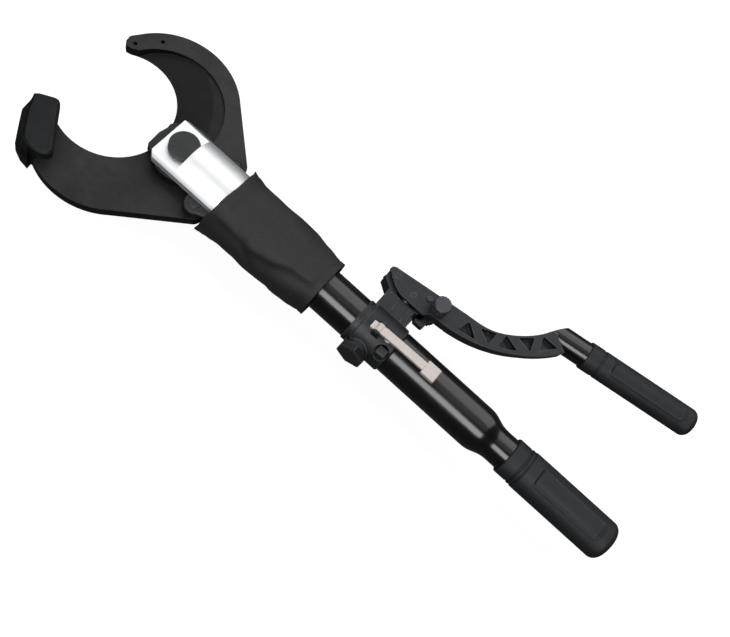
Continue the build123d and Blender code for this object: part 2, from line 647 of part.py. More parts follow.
with BuildPart() as handle_arm:
    with BuildSketch(level.offset(-arm_half)):
        with BuildLine():
            Line(head_corner, arm_top[0])
            Spline(*arm_top, tangents=[(1, 0.17), (cos(radians(seat_slope)), sin(radians(seat_slope)))])
            Polyline(arm_top[-1], (388.0, 127.6), (402.6, 119.6), arm_low[-1])
            ThreePointArc(*reversed(arm_low))
            Polyline(arm_low[0], (277.0, 50.5), (271.5, 44.4), (242.0, 44.4), (233.3, 47.8), (224.2, 53.4),
                     (218.2, 59.0), (218.6, 61.6), head_corner)
        make_face()
    extrude(amount=2 * arm_half)
    # the arm's back is rounded along its lower edge
    with BuildSketch(Plane(origin=(*arm_centre, axis_height), x_dir=(*polar(1, round_from_angle), 0),
                           z_dir=(*polar(1, round_from_angle - 90), 0))):
        with BuildLine():
            CenterArc((arm_radius - rear_round, rear_round - arm_half), rear_round, 270, 90)
            Polyline((arm_radius, rear_round - arm_half), (arm_radius + 8, rear_round - arm_half),
                     (arm_radius + 8, -arm_half - 8), (arm_radius - rear_round, -arm_half - 8),
                     (arm_radius - rear_round, -arm_half))
        make_face()
    revolve(axis=Axis((*arm_centre, 0), (0, 0, 1)), revolution_arc=58, mode=Mode.SUBTRACT)
    # the handle tube's seat
    with BuildSketch(along_handle(tube_start)):
        Circle(handle_tube_radius)
    extrude(amount=80, mode=Mode.SUBTRACT)
    # fork gap, latch slot
    with BuildSketch(level.offset(-fork_half)):
        with BuildLine():
            Polyline((210.0, 40.0), (210.0, 75.0), (236.5, 75.0), (236.5, 62.0), (274.0, 68.5), (274.0, 40.0),
                     close=True)
        make_face()
    extrude(amount=2 * fork_half, mode=Mode.SUBTRACT)
    with BuildSketch(level.offset(-5.0)):
        with BuildLine():
            Polyline((265.0, 40.0), (265.0, 66.5), (290.0, 70.0), (298.0, 60.0), (298.0, 40.0), close=True)
        make_face()
    extrude(amount=10.0, mode=Mode.SUBTRACT)
    # triangular pockets along the arm
    for index in range(5):
        angle = pocket_first + index * pocket_step
        corners = pocket_down if index % 2 else pocket_up
        with BuildSketch(level.offset(arm_half)):
            with Locations(Location((*polar(pocket_track, angle, arm_centre), 0), (0, 0, angle + 90))):
                Polygon(*corners, align=None)
            fillet(vertices(), radius=1.0)
        extrude(amount=-pocket_depth, mode=Mode.SUBTRACT)
    # holes for the fulcrum, plunger pin, latch shaft and the little screw
    with Locations((fulcrum_x, fulcrum_y, 0)):
        Cylinder(3.5 + running_gap, 2 * axis_height, align=UP, mode=Mode.SUBTRACT)
    with Locations((plunger_pin_x, plunger_pin_y, 0)):
        Cylinder(3.0, 2 * axis_height, align=UP, mode=Mode.SUBTRACT)
    with Locations((latch_x, latch_y, 0)):
        Cylinder(5.0, 2 * axis_height, align=UP, mode=Mode.SUBTRACT)
    with Locations((lock_x, lock_y, axis_height)):
        Cylinder(1.8, axis_height, align=UP, mode=Mode.SUBTRACT)
finish(handle_arm, "handle_arm")

with BuildPart() as lock_screw:
    with Locations((lock_x, lock_y, axis_height + arm_half)):
        Cylinder(3.4, 1.5, align=UP)
        with Locations((0, 0, -3.5)):
            Cylinder(1.8, 3.5, align=UP)
    chamfer(lock_screw.faces().sort_by(Axis.Z)[-1].edges(), length=0.4)
finish(lock_screw, "lock_screw")

# ---------------------------------------------------------------- handle tube and grip
tube_bore = 10.0
with BuildPart() as handle_tube:
    with BuildSketch(along_handle(tube_start)):
        Circle(handle_tube_radius)
        Circle(tube_bore, mode=Mode.SUBTRACT)
    extrude(amount=tube_end - tube_start)
    # its slanted end follows the arm's upper edge
    with BuildSketch(level):
        Polygon(*seat_line, align=None)
    extrude(amount=2 * arm_half, both=True, mode=Mode.SUBTRACT)
finish(handle_tube, "handle_tube")

with BuildPart() as tube_plug:
    with BuildSketch(along_handle(tube_start)):
        Circle(tube_bore)
    extrude(amount=50)
    with BuildSketch(level):
        Polygon(*seat_line, align=None)
    extrude(amount=2 * arm_half, both=True, mode=Mode.SUBTRACT)
finish(tube_plug, "tube_plug")

collar_from, collar_to, groove_to, handle_grip_end = -33.8, -18.6, -16.4, 100.0
with BuildPart() as handle_grip:
    with BuildSketch(handle_plane):
        with BuildLine():
            Polyline((collar_from, 0), (collar_from, handle_grip_radius), (collar_to, handle_grip_radius),
                     (collar_to, handle_grip_radius - 0.9), (groove_to, handle_grip_radius - 0.9),
                     (groove_to, handle_grip_radius), (handle_grip_end, handle_grip_radius),
                     (handle_grip_end, 0), close=True)
        make_face()
    revolve(axis=handle_axis)
    fillet(handle_grip.faces().sort_by(Axis.X)[-1].edges(), radius=6.0)
    with BuildSketch(along_handle(collar_from)):
        Circle(handle_tube_radius)
    extrude(amount=tube_end - collar_from, mode=Mode.SUBTRACT)
finish(handle_grip, "handle_grip")

# ---------------------------------------------------------------- latch
knob_from, knob_to, knob_radius = arm_half + 0.3, 28.0, 9.0
with BuildPart() as latch_knob:
    with Locations((latch_x, latch_y, axis_height + knob_from)):
        Cylinder(knob_radius, knob_to - knob_from, align=UP)
    chamfer(latch_knob.faces().sort_by(Axis.Z)[-1].edges(), length=1.2)
    with Locations((latch_x, latch_y, axis_height + knob_from + 5.0)):
        with PolarLocations(knob_radius + 0.3, 18):
            Cylinder(0.7, knob_to, align=UP, mode=Mode.SUBTRACT)
    with Locations((latch_x, latch_y, axis_height - arm_half)):
        Cylinder(5.0 - running_gap, knob_from + arm_half, align=UP)
        Cylinder(2.5, 12, align=UP, mode=Mode.SUBTRACT)
finish(latch_knob, "latch_knob")

with BuildPart() as latch_hook:
    with BuildSketch(level.offset(-4)):
        with Locations((latch_x, latch_y)):
            Circle(eye_radius)
        with BuildLine():
            Polyline((273.8, 58.0), (273.8, 43.6), (271.5, 41.8), (268.7, 41.3), (268.7, 38.8), (270.0, 37.6),
                     (279.0, 37.6), (280.4, 39.0), (281.0, 48.5), (285.0, 55.0), (279.5, 60.0), close=True)
        make_face()
        with Locations((latch_x, latch_y)):
            Circle(5.0 - running_gap, mode=Mode.SUBTRACT)
    extrude(amount=8)
finish(latch_hook, "latch_hook")

with BuildPart() as latch_screw:
    with Locations((latch_x, latch_y, axis_height - arm_half)):
        Cylinder(2.5, 12, align=UP)
        with Locations((0, 0, -0.3)):
            Cylinder(2.5, 0.3, align=UP)
        with Locations((0, 0, -3.3)):
            Cylinder(7.0, 3.0, align=UP)
finish(latch_screw, "latch_screw")

# ---------------------------------------------------------------- release lever
lever_path = [(241.0, 27.2), (249.0, 29.4), (256.0, 31.2), (262.0, 31.6), (275.0, 32.5), (307.0, 33.6)]
lever_thickness = 3.2
tab_from, tab_to, tab_half = 303.2, 318.4, 7.7
tab_corner = 1.0
with BuildPart() as release_lever:
    with BuildSketch(profile.offset(-lever_y - lever_width / 2)):
        with BuildLine():
            Polyline(*lever_path)
        trace(line_width=lever_thickness)
        with Locations((lever_pivot_x, lever_pivot_z)):
            Circle(ear_radius - 0.2)
    extrude(amount=lever_width)
    with BuildSketch(level.offset(32)):
        with Locations(((tab_from + tab_to) / 2, lever_y)):
            RectangleRounded(tab_to - tab_from, 2 * tab_half, tab_corner)
    extrude(amount=4)
    chamfer(release_lever.faces().sort_by(Axis.Z)[-1].edges(), length=0.5)
    with Locations(outward(lever_pivot_x, lever_y - 20, lever_pivot_z)):
        Cylinder(1.6 + running_gap, 40, align=UP, mode=Mode.SUBTRACT)
finish(release_lever, "release_lever")

with BuildPart() as lever_pin:
    half_length = lever_width / 2 + 0.3 + ear_thickness + 0.4
    with Locations(outward(lever_pivot_x, lever_y - half_length, lever_pivot_z)):
        Cylinder(1.6, 2 * half_length, align=UP)
finish(lever_pin, "lever_pin")

with BuildPart() as release_pin:
    with Locations((release_x, lever_y, axis_height + 14)):
        Cylinder(release_radius, 15.4, align=UP)
    with Locations((release_x, lever_y, axis_height + 28.4)):
        Cylinder(4.5, 1.0, align=UP)
finish(release_pin, "release_pin")

with BuildPart() as release_spring:
    with BuildLine():
        coil = Helix(pitch=0.9, height=1.8, radius=3.9, center=(release_x, lever_y, axis_height + 25.6))
    with BuildSketch(Plane(origin=coil @ 0, z_dir=coil % 0)):
        Circle(0.35)
    sweep(path=coil, is_frenet=True)
finish(release_spring, "release_spring")

# ---------------------------------------------------------------- reservoir barrel and fixed grip
barrel_shoulder = block_rear
tail_radius, tail_from, tail_to = 14.0, 440.0, 540.0
oil_radius = 19.4
with BuildPart() as reservoir_barrel:
    with BuildSketch(profile):
        with BuildLine():
            Polyline((barrel_socket, 12), (barrel_socket, spigot_radius), (barrel_shoulder, spigot_radius),
                     (barrel_shoulder, barrel_radius - 0.8), (barrel_shoulder + 0.8, barrel_radius),
                     (380, barrel_radius))
            Bezier((380, barrel_radius), (393, barrel_radius), (395, neck_radius), (408, neck_radius))
            Polyline((408, neck_radius), (tail_from, neck_radius), (tail_from, tail_radius),
                     (tail_to, tail_radius), (tail_to, 11.0), (408, 11.0))
            Bezier((408, 11.0), (395, 11.0), (390, oil_radius), (376, oil_radius))
            Polyline((376, oil_radius), (277, oil_radius), (277, 12), (barrel_socket, 12))
        make_face()
    revolve(axis=barrel_axis)
finish(reservoir_barrel, "reservoir_barrel")

with BuildPart() as oil_bladder:
    with BuildSketch(profile):
        with BuildLine():
            Polyline((280, 0), (280, 15), (283, 18), (371, 18), (374, 15), (374, 0), (372.5, 0),
                     (372.5, 14.5), (370.5, 16.5), (283.5, 16.5), (281.5, 14.5), (281.5, 0), close=True)
        make_face()
    revolve(axis=barrel_axis)
finish(oil_bladder, "oil_bladder")

with BuildPart() as filler_plug:
    with Locations(cross(tail_to - 12)):
        Cylinder(11.0, 12, align=UP)
    with BuildSketch(cross(tail_to)):
        RegularPolygon(5.0, 6)
    extrude(amount=-5, mode=Mode.SUBTRACT)
finish(filler_plug, "filler_plug")

grip_front, grip_end = 420.5, 550.0
with BuildPart() as fixed_grip:
    with BuildSketch(profile):
        with BuildLine():
            Polyline((grip_front, 0), (grip_front, 19.4), (421.5, 20.0), (435.0, 20.0), (435.0, 18.6),
                     (437.0, 18.6), (437.0, 20.4), (439.6, 20.4), (439.6, 19.4), (441.2, 19.4),
                     (441.2, grip_radius), (grip_end, grip_radius), (grip_end, 0), close=True)
        make_face()
    revolve(axis=barrel_axis)
    fillet(fixed_grip.faces().sort_by(Axis.X)[-1].edges(), radius=6.0)
    with Locations(cross(grip_front)):
        Cylinder(neck_radius, tail_from - grip_front, align=UP, mode=Mode.SUBTRACT)
        Cylinder(tail_radius, tail_to - grip_front, align=UP, mode=Mode.SUBTRACT)
finish(fixed_grip, "fixed_grip")
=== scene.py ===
from math import cos, exp, pi, radians, sin, sqrt

import bpy
import bmesh
from mathutils import Matrix, Vector, noise


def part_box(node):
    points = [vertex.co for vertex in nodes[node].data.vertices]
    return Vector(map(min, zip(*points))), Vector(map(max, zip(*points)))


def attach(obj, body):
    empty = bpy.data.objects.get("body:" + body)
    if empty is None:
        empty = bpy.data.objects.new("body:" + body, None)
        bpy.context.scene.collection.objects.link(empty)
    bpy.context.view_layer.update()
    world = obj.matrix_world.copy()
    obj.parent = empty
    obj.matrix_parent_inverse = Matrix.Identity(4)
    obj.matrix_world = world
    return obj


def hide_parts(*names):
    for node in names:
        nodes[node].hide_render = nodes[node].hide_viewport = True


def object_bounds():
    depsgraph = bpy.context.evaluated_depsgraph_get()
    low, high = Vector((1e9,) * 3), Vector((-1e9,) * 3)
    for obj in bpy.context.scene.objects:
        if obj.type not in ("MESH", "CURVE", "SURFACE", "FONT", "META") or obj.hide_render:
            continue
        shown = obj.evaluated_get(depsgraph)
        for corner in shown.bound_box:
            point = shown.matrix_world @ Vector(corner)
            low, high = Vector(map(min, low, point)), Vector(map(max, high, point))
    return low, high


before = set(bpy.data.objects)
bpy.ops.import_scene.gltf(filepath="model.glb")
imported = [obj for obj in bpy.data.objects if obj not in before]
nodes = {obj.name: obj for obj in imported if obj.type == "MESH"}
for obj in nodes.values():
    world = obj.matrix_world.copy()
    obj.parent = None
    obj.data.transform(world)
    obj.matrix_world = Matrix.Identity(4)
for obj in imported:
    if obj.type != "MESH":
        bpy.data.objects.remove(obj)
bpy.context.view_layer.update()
MM = 0.001
AXIS_Z = 0.030              # height of the barrel's axis in the frame
world_x, world_z = Vector((1, 0, 0)), Vector((0, 0, 1))


# ---------------------------------------------------------------- camera and light
def look_from(obj, place, target, up):
    """Puts obj at place, facing target, with up as its upper side."""
    back = (place - target).normalized()
    right = up.cross(back).normalized()
    upward = back.cross(right)
    turn = Matrix((right, upward, back)).transposed()
    obj.matrix_world = Matrix.Translation(place) @ turn.to_4x4()


TILT = radians(25.0)        # the camera leans toward -Y
ROLL = radians(42.1)
CAMERA_DISTANCE = 0.960
target = Vector((232.5, 6.1, 30.0)) * MM
toward_camera = Vector((0, -sin(TILT), cos(TILT)))
across = Vector((0, cos(TILT), sin(TILT)))
camera = bpy.data.objects.new("camera", bpy.data.cameras.new("camera"))
bpy.context.scene.collection.objects.link(camera)
camera.data.sensor_width = 36.0
camera.data.lens = 49.3
camera.data.clip_start, camera.data.clip_end = 0.05, 60.0
look_from(camera, target + toward_camera * CAMERA_DISTANCE, target, across * cos(ROLL) - world_x * sin(ROLL))
bpy.context.scene.camera = camera


def softbox(name, angle, distance, size, power, along=0.0):
    """A rectangular light over the tool, tipped by angle degrees from above toward -Y."""
    lamp = bpy.data.lights.new(name, "AREA")
    lamp.shape = "RECTANGLE"
    lamp.size, lamp.size_y = size
    lamp.energy = power
    obj = bpy.data.objects.new(name, lamp)
    bpy.context.scene.collection.objects.link(obj)
    lean = radians(angle)
    place = target + Vector((along, -sin(lean) * distance, cos(lean) * distance))
    back = (place - target).normalized()
    look_from(obj, place, target, back.cross(world_x).normalized())
    obj.visible_camera = False
    return obj


softbox("key_light", -42.0, 1.50, (2.4, 1.5), 22.0)
softbox("head_light", -25.0, 1.60, (0.7, 0.7), 3.0, along=-1.2)
softbox("streak_light", 43.0, 1.30, (2.0, 0.62), 26.0).visible_diffuse = False
softbox("top_light", -4.0, 1.40, (2.2, 0.85), 3.2).visible_diffuse = False
softbox("fill_light", 50.0, 1.50, (1.8, 1.2), 5.5).visible_glossy = False

world = bpy.data.worlds.new("studio")
bpy.context.scene.world = world
world.use_nodes = True
world.node_tree.nodes["Background"].inputs["Color"].default_value = (1, 1, 1, 1)
world.node_tree.nodes["Background"].inputs["Strength"].default_value = 0.08
bpy.context.scene.view_settings.view_transform = "Standard"


# ---------------------------------------------------------------- node materials
class Graph:
    """A material's node tree, with short calls that add and join nodes."""

    def __init__(self, name):
        self.material = bpy.data.materials.new(name)
        self.material.use_nodes = True
        self.tree = self.material.node_tree
        self.shader = self.tree.nodes["Principled BSDF"]

    def add(self, kind, inputs=None, **settings):
        """A new node with its inputs set or linked."""
        node = self.tree.nodes.new(kind)
        for key, value in settings.items():
            setattr(node, key, value)
        for key, value in (inputs or {}).items():
            self.put(node, key, value)
        return node

    def put(self, node, key, value):
        if isinstance(value, bpy.types.NodeSocket):
            self.tree.links.new(value, node.inputs[key])
        else:
            node.inputs[key].default_value = value

    def coords(self, scale=(1, 1, 1)):
        """Object coordinates, stretched."""
        source = self.add("ShaderNodeTexCoord").outputs["Object"]
        return self.add("ShaderNodeMapping", {"Vector": source, "Scale": scale}).outputs["Vector"]

    def noise(self, scale, detail=4.0, rough=0.55, vector=None, distortion=0.0):
        """A noise texture's value, in object coordinates unless a vector is given."""
        vector = vector or self.coords()
        made = self.add("ShaderNodeTexNoise", {"Vector": vector, "Scale": scale, "Detail": detail,
                                               "Roughness": rough, "Distortion": distortion})
        return made.outputs["Fac"]

    def ramp(self, value, *stops):
        """Maps a value through (position, grey or colour) stops."""
        made = self.add("ShaderNodeValToRGB", {"Fac": value})
        elements = made.color_ramp.elements
        for index, (place, colour) in enumerate(stops):
            element = elements[index] if index < 2 else elements.new(place)
            element.position = place
            element.color = (*colour, 1) if isinstance(colour, tuple) else (colour, colour, colour, 1)
        return made.outputs["Color"]

    def math(self, operation, a, b=0.0):
        """One arithmetic step on two values."""
        made = self.add("ShaderNodeMath", operation=operation)
        self.put(made, 0, a)
        self.put(made, 1, b)
        return made.outputs[0]

    def mix(self, share, a, b):
        """The colour that lies share of the way from a to b."""
        made = self.add("ShaderNodeMix", data_type="RGBA")
        self.put(made, 0, share)
        self.put(made, 6, a if isinstance(a, bpy.types.NodeSocket) else (*a, 1))
        self.put(made, 7, b if isinstance(b, bpy.types.NodeSocket) else (*b, 1))
        return made.outputs[2]

    def bump(self, height, strength, distance, normal=None):
        """A bumped normal, on top of another one if it is given."""
        inputs = {"Height": height, "Strength": strength, "Distance": distance}
        if normal is not None:
            inputs["Normal"] = normal
        return self.add("ShaderNodeBump", inputs).outputs["Normal"]

    def edges(self, radius):
        """(mask, rounded normal): the mask is 1 on sharp edges, from the bevel node."""
        rounded = self.add("ShaderNodeBevel", {"Radius": radius}, samples=4).outputs["Normal"]
        flat = self.add("ShaderNodeNewGeometry").outputs["Normal"]
        dot = self.add("ShaderNodeVectorMath", operation="DOT_PRODUCT")
        self.put(dot, 0, rounded)
        self.put(dot, 1, flat)
        return self.ramp(dot.outputs["Value"], (0.86, 1.0), (0.992, 0.0)), rounded

    def finish(self, **inputs):
        """Sets the shader's inputs, named with _ for each space, and gives the material."""
        for key, value in inputs.items():
            self.put(self.shader, key.replace("_", " "), value)
        return self.material


JAW_FACE = 0.012            # height of a jaw's outer face from the barrel's axis


def jaw_steel(name, low, high):
    """Blackened tool steel: matt, cloudy, with edges painted paler for rubbed wear and a painted highlight,
    and dark hollow-ground faces.
    """
    g = Graph(name)
    edge, rounded = g.edges(0.0009)
    cloud = g.noise(16.0, 6.0, 0.62)
    speck = g.noise(900.0, 3.0, 0.6)
    rust = g.noise(26.0, 5.0, 0.7, distortion=0.6)
    colour = g.mix(g.ramp(cloud, (0.36, 0.0), (0.64, 1.0)), low, high)
    browned = (1.5 * high[0], 1.2 * high[1], high[2])
    colour = g.mix(g.ramp(rust, (0.52, 0.0), (0.74, 0.60)), colour, browned)
    colour = g.mix(g.ramp(speck, (0.45, 0.0), (0.75, 0.35)), colour, [1.6 * part for part in high])
    height = g.add("ShaderNodeSeparateXYZ", {"Vector": g.coords()}).outputs["Z"]
    depth = g.math("ABSOLUTE", g.math("SUBTRACT", height, AXIS_Z))
    depth = g.math("MULTIPLY", depth, 1 / JAW_FACE)
    hollow = g.ramp(depth, (0.015, 0.0), (0.03, 1.0), (0.955, 1.0), (0.975, 0.0))
    colour = g.mix(g.math("MULTIPLY", hollow, 0.80), colour, (0.0016, 0.0020, 0.0026))
    # The edges are painted paler: partly rubbed wear, partly a painted edge highlight.
    scuff_and_edge_highlight = g.ramp(g.noise(55.0, 5.0, 0.7), (0.42, 0.15), (0.66, 1.0))
    colour = g.mix(g.math("MULTIPLY", edge, g.math("MULTIPLY", scuff_and_edge_highlight, 0.75)), colour, (0.105, 0.103, 0.10))
    rough = g.ramp(g.noise(60.0, 4.0), (0.3, 0.46), (0.75, 0.62))
    normal = g.bump(speck, 0.16, 0.0004, rounded)
    normal = g.bump(cloud, 0.18, 0.0012, normal)
    return g.finish(Base_Color=colour, Roughness=rough, Metallic=0.2, Specular_IOR_Level=0.22,
                    Normal=normal)


def brushed_metal(name, low, high, grain, rough_low, rough_high, edge_wear_and_highlight_colour):
    """Bright machined metal, brushed along the long direction that grain squeezes least."""
    g = Graph(name)
    edge, rounded = g.edges(0.0005)
    lines = g.noise(1.0, 5.0, 0.7, g.coords(grain))
    cloud = g.noise(9.0, 4.0, 0.6)
    colour = g.mix(g.ramp(cloud, (0.3, 0.0), (0.75, 1.0)), low, high)
    colour = g.mix(g.ramp(lines, (0.35, 0.0), (0.75, 0.45)), colour, high)
    # The edges are painted paler: partly worn polish, partly a painted edge highlight.
    colour = g.mix(g.math("MULTIPLY", edge, 0.6), colour, edge_wear_and_highlight_colour)
    rough = g.ramp(lines, (0.3, rough_low), (0.75, rough_high))
    normal = g.bump(lines, 0.10, 0.0002, rounded)
    return g.finish(Base_Color=colour, Roughness=rough, Metallic=1.0, Normal=normal)


def painted_tube():
    """Gloss black enamel on drawn tube, with faint orange peel and hairline scratches."""
    g = Graph("cylinder_black_finish")
    edge, rounded = g.edges(0.0005)
    peel = g.noise(260.0, 2.0, 0.5)
    scratch = g.ramp(g.noise(1.0, 3.0, 0.8, g.coords((30, 900, 900))), (0.66, 0.0), (0.74, 1.0))
    dust = g.noise(24.0, 5.0, 0.65)
    colour = g.mix(g.ramp(dust, (0.35, 0.0), (0.8, 1.0)), (0.0040, 0.0040, 0.0048), (0.0085, 0.0083, 0.0095))
    colour = g.mix(g.math("MULTIPLY", edge, 0.5), colour, (0.09, 0.09, 0.095))
    rough = g.math("ADD", g.ramp(dust, (0.3, 0.17), (0.8, 0.25)), g.math("MULTIPLY", scratch, 0.08))
    normal = g.bump(peel, 0.012, 0.0003, rounded)
    return g.finish(Base_Color=colour, Roughness=rough, Specular_IOR_Level=0.55, Normal=normal)


def cast_black(name, low, high, rough_low, rough_high, grain=420.0, edge_wear_and_highlight_colour=(0.10, 0.105, 0.115)):
    """Powder-coated casting: fine pebbled skin, soft sheen, and corners painted paler for rubbed wear and a
    painted edge highlight.
    """
    g = Graph(name)
    edge, rounded = g.edges(0.0013)
    pebble = g.noise(grain, 4.0, 0.6)
    cloud = g.noise(28.0, 5.0, 0.62)
    colour = g.mix(g.ramp(cloud, (0.3, 0.0), (0.75, 1.0)), low, high)
    # The corners are painted paler: partly rubbed wear, partly a painted edge highlight.
    rubbed_and_lit_edges = g.math("MULTIPLY", edge, g.ramp(g.noise(70.0, 5.0, 0.7), (0.35, 0.2), (0.60, 0.9)))
    colour = g.mix(rubbed_and_lit_edges, colour, edge_wear_and_highlight_colour)
    rough = g.ramp(g.noise(90.0, 4.0), (0.3, rough_low), (0.75, rough_high))
    normal = g.bump(pebble, 0.30, 0.0004, rounded)
    return g.finish(Base_Color=colour, Roughness=rough, Specular_IOR_Level=0.36, Normal=normal)


def moulded_rubber(name, low, high, rough_low, rough_high, grain, depth, dust=(0.040, 0.046, 0.052)):
    """Moulded rubber with a fine leather grain, a little dust in the grain and soft sheen."""
    g = Graph(name)
    cells = g.add("ShaderNodeTexVoronoi", {"Vector": g.coords(), "Scale": grain, "Randomness": 1.0},
                  feature="DISTANCE_TO_EDGE").outputs["Distance"]
    skin = g.ramp(cells, (0.0, 0.0), (0.16, 1.0))
    fine = g.noise(grain * 3.0, 3.0, 0.6)
    cloud = g.noise(20.0, 5.0, 0.6)
    colour = g.mix(g.ramp(cloud, (0.3, 0.0), (0.75, 1.0)), low, high)
    colour = g.mix(g.ramp(g.noise(140.0, 5.0, 0.75), (0.58, 0.0), (0.82, 0.30)), colour, dust)
    rough = g.ramp(cloud, (0.3, rough_low), (0.75, rough_high))
    normal = g.bump(skin, 0.35, depth)
    normal = g.bump(fine, 0.15, depth * 0.5, normal)
    return g.finish(Base_Color=colour, Roughness=rough, Specular_IOR_Level=0.34, Normal=normal)


def lever_paint():
    """Cream enamel on a bent steel strip, yellowed and chipped a little at its edges."""
    g = Graph("lever_cream_finish")
    edge, rounded = g.edges(0.0004)
    cloud = g.noise(45.0, 5.0, 0.6)
    colour = g.mix(g.ramp(cloud, (0.3, 0.0), (0.75, 1.0)), (0.74, 0.655, 0.62), (0.88, 0.79, 0.75))
    grime = g.ramp(g.noise(120.0, 6.0, 0.75), (0.62, 0.0), (0.85, 0.4))
    colour = g.mix(grime, colour, (0.34, 0.29, 0.25))
    chip = g.math("MULTIPLY", edge, g.ramp(g.noise(160.0, 4.0, 0.7), (0.50, 0.0), (0.62, 0.8)))
    colour = g.mix(chip, colour, (0.30, 0.27, 0.25))
    rough = g.ramp(cloud, (0.3, 0.34), (0.8, 0.50))
    normal = g.bump(g.noise(500.0, 3.0), 0.08, 0.0003, rounded)
    return g.finish(Base_Color=colour, Roughness=rough, Normal=normal)


finishes = {
    "jaw_steel": jaw_steel("jaw_steel_finish", (0.0120, 0.0128, 0.0138), (0.0300, 0.0300, 0.0310)),
    "yoke_steel": brushed_metal("yoke_steel_finish", (0.58, 0.59, 0.605), (0.76, 0.77, 0.78),
                                (14, 700, 700), 0.44, 0.60, (0.96, 0.96, 0.97)),
    "pin_steel": cast_black("pin_steel_finish", (0.0075, 0.0100, 0.0110), (0.0140, 0.0175, 0.0190),
                            0.40, 0.56, grain=700.0, edge_wear_and_highlight_colour=(0.30, 0.30, 0.31)),
    # The link is painted darker as painted shade, for the yoke's shadow that falls on it.
    "link_steel": cast_black("link_steel_painted_shade_finish", (0.0045, 0.0028, 0.0028), (0.0100, 0.0064, 0.0064),
                             0.40, 0.56, edge_wear_and_highlight_colour=(0.16, 0.12, 0.12)),
    "inner_steel": brushed_metal("inner_steel_finish", (0.36, 0.36, 0.37), (0.52, 0.52, 0.53),
                                 (120, 500, 500), 0.26, 0.42, (0.75, 0.75, 0.76)),
    "cylinder_black": painted_tube(),
    "block_black": cast_black("block_black_finish", (0.0052, 0.0070, 0.0096), (0.0110, 0.0136, 0.0176),
                              0.46, 0.60, edge_wear_and_highlight_colour=(0.24, 0.26, 0.29)),
    "screw_black": cast_black("screw_black_finish", (0.012, 0.013, 0.015), (0.022, 0.024, 0.027),
                              0.28, 0.40, grain=900.0, edge_wear_and_highlight_colour=(0.17, 0.17, 0.18)),
    "lever_cream": lever_paint(),
    "grip_rubber": moulded_rubber("grip_rubber_finish", (0.0066, 0.0094, 0.0124), (0.0130, 0.0172, 0.0212),
                                  0.50, 0.64, 900.0, 0.00025),
    "sleeve_rubber": moulded_rubber("sleeve_rubber_finish", (0.0150, 0.0128, 0.0130),
                                    (0.0270, 0.0235, 0.0238), 0.60, 0.74, 620.0, 0.00030,
                                    dust=(0.052, 0.048, 0.048)),
    "seal_rubber": moulded_rubber("seal_rubber_finish", (0.014, 0.014, 0.014), (0.024, 0.024, 0.024),
                                  0.48, 0.62, 900.0, 0.00020),
    "knob_grey": cast_black("knob_grey_finish", (0.036, 0.038, 0.056), (0.060, 0.062, 0.086), 0.32, 0.46,
                            grain=800.0, edge_wear_and_highlight_colour=(0.30, 0.30, 0.33)),
}
for node in nodes.values():
    for slot in node.material_slots:
        slot.material = finishes[slot.material.name]
# The guide is darker and bluer than the jaws, in the same slot.
guide_finish = jaw_steel("tip_guide_finish", (0.0022, 0.0034, 0.0044), (0.0070, 0.0090, 0.0105))
nodes["tip_guide"].material_slots[0].material = guide_finish


# ---------------------------------------------------------------- shared mesh helpers
def ring_mesh(name, rings):
    """A closed mesh through rings of equally many points. A one-point ring is a pole."""
    mesh = bmesh.new()
    made = [[mesh.verts.new(p) for p in ring] for ring in rings]
    for near, far in zip(made, made[1:]):
        count = max(len(near), len(far))
        for i in range(count if count > 1 else 0):
            j = (i + 1) % count
            if len(near) == 1:
                mesh.faces.new((near[0], far[j], far[i]))
            elif len(far) == 1:
                mesh.faces.new((near[i], near[j], far[0]))
            else:
                mesh.faces.new((near[i], near[j], far[j], far[i]))
    for i in range(len(made[0])):
        j = (i + 1) % len(made[0])
        mesh.faces.new((made[-1][i], made[-1][j], made[0][j], made[0][i]))
    bmesh.ops.recalc_face_normals(mesh, faces=mesh.faces)
    data = bpy.data.meshes.new(name)
    mesh.to_mesh(data)
    mesh.free()
    data.polygons.foreach_set("use_smooth", [True] * len(data.polygons))
    obj = bpy.data.objects.new(name, data)
    bpy.context.scene.collection.objects.link(obj)
    return obj


def smooth_step(low, high, value):
    """0 below low, 1 above high and an S-shaped rise between them."""
    t = min(1.0, max(0.0, (value - low) / (high - low)))
    return t * t * (3 - 2 * t)


def through(points, value):
    """Reads a curve through (place, height) points, eased between them."""
    if value <= points[0][0]:
        return points[0][1]
    for (x0, y0), (x1, y1) in zip(points, points[1:]):
        if value <= x1:
            return y0 + (y1 - y0) * smooth_step(x0, x1, value)
    return points[-1][1]


# ---------------------------------------------------------------- soft sleeve
# Radii are in millimetres from the barrel's axis, on the handle's side and on the far side.
SLEEVE_NEAR = [(50, 40.6), (58, 39.7), (66, 38.2), (80, 36.2), (102, 36.0), (122, 37.4), (143, 36.4),
               (162, 34.2), (184, 31.2)]
SLEEVE_FAR = [(50, 40.0), (58, 39.5), (68, 38.0), (80, 36.8), (97, 37.2), (112, 38.6), (143, 36.8),
              (162, 34.6), (184, 32.4)]
# The front edge is at this X for each angle from +Z toward -Y, in degrees.
FRONT_EDGE = [(-180, 58.5), (-110, 59.0), (-65, 60.5), (-40, 63.5), (-5, 64.5), (35, 62.0), (75, 58.0),
              (115, 53.5), (150, 55.0), (180, 58.5)]
SLEEVE_REAR = 184.0
SLEEVE_WALL = 1.7
SLEEVE_TURNS, SLEEVE_LENGTHS = 168, 120
# The long fold that runs along the sleeve, as (X, angle).
RIDGE = [(58, 45), (84, 48), (108, 50), (128, 44), (156, 30), (184, 25)]
RIDGE_HEIGHT = 2.8
RIDGE_WIDTHS = 9.0, 22.0        # degrees on its -Y side and on its other side
